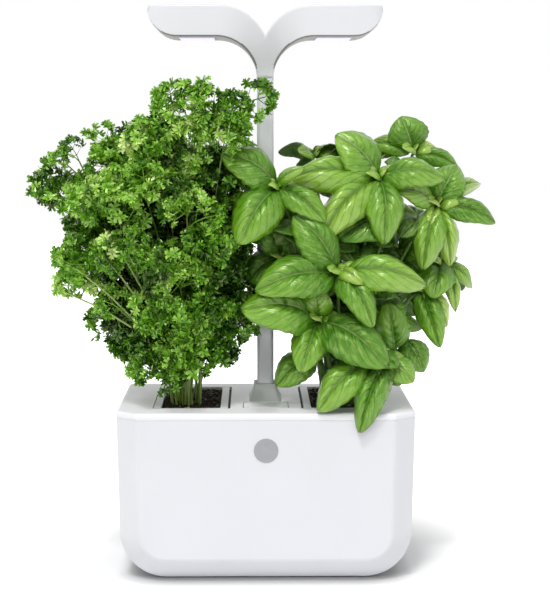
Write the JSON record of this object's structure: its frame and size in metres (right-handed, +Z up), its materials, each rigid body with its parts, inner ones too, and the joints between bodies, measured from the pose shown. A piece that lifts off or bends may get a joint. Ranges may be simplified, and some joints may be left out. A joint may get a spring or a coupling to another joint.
{
  "type": "countertop hydroponic garden",
  "caption": "Countertop hydroponic garden: bevelled white water tank, lid with two soil pods of parsley and basil, and a twin-arm grow light on a central mast.",
  "frame": {"origin": "middle of the anti-slip pad on the surface that the garden stands on", "axes": "+X to the right as seen from the front, +Y to the back, +Z up; the light is fully raised and the lid, pods and flap are closed"},
  "size_m": [0.3478, 0.1809, 0.4224],
  "materials": {
    "white_plastic": "satin",
    "lid_plastic": "satin",
    "inner_plastic": "matte",
    "guide_plastic": "matte",
    "collar_plastic": "matte",
    "badge_grey": "satin",
    "button_grey": "matte",
    "rubber_pad": "matte",
    "screw_steel": "satin",
    "spreader_aluminium": "satin",
    "board_green": "satin",
    "board_white": "satin",
    "led_yellow": "gloss",
    "window_lilac": "gloss",
    "lead_black": "matte",
    "float_orange": "matte",
    "soil": "matte",
    "felt": "matte",
    "parsley_green": "matte",
    "basil_green": "satin"
  },
  "bodies": {
    "tank": {"tank_shell": "white_plastic", "anti_slip_pad": "rubber_pad", "front_badge": "badge_grey"},
    "lid": {"lid_deck": "lid_plastic", "mast_collar": "collar_plastic", "mast_well": "inner_plastic", "mast_guide": "guide_plastic", "well_screws": "screw_steel", "lamp_lead_coil": "lead_black", "link_lead": "lead_black", "flap_hinge_pin": "screw_steel", "control_box": "lid_plastic", "box_gasket": "rubber_pad", "box_screws": "screw_steel", "control_board": "board_green", "timer_switch": "guide_plastic", "power_jack": "guide_plastic", "float_stem": "inner_plastic", "float_stop": "guide_plastic"},
    "flap": {"fill_flap": "lid_plastic"},
    "button": {"timer_button": "button_grey"},
    "float": {"level_float": "float_orange"},
    "lamp": {"mast": "white_plastic", "mast_foot": "guide_plastic", "lamp_housing": "white_plastic", "lamp_lead": "lead_black", "light_window_left": "window_lilac", "light_window_right": "window_lilac", "led_board_left": "board_white", "led_board_right": "board_white", "led_emitters_left": "led_yellow", "led_emitters_right": "led_yellow", "heat_spreader_left": "spreader_aluminium", "heat_spreader_right": "spreader_aluminium"},
    "pod_left": {"pod_tray_left": "white_plastic", "soil_block_left": "soil", "wick_left": "felt", "parsley_plant": "parsley_green"},
    "pod_right": {"pod_tray_right": "white_plastic", "soil_block_right": "soil", "wick_right": "felt", "basil_plant": "basil_green"}
  },
  "joints": [
    {"name": "lid_lift", "type": "slide", "parent": "tank", "child": "lid", "axis": [0, 0, 1], "range_m": [0, 0.115]},
    {"name": "flap_hinge", "type": "hinge", "parent": "lid", "child": "flap", "pos_m": [0, -0.0249, 0.1237], "axis": [-1, 0, 0], "range_deg": [0, 75]},
    {"name": "button_press", "type": "slide", "parent": "lid", "child": "button", "axis": [0, -1, 0], "range_m": [0, 0.0012], "stiffness_N_per_m": 500, "springref_m": -0.0008},
    {"name": "float_rise", "type": "slide", "parent": "lid", "child": "float", "axis": [0, 0, 1], "range_m": [0, 0.055]},
    {"name": "lamp_height", "type": "slide", "parent": "lid", "child": "lamp", "axis": [0, 0, 1], "range_m": [-0.07, 0], "deforming": ["lamp_lead_coil", "parsley_plant", "basil_plant"]},
    {"name": "pod_left_lift", "type": "slide", "parent": "lid", "child": "pod_left", "axis": [0, 0, 1], "range_m": [0, 0.06]},
    {"name": "pod_right_lift", "type": "slide", "parent": "lid", "child": "pod_right", "axis": [0, 0, 1], "range_m": [0, 0.06]}
  ]
}
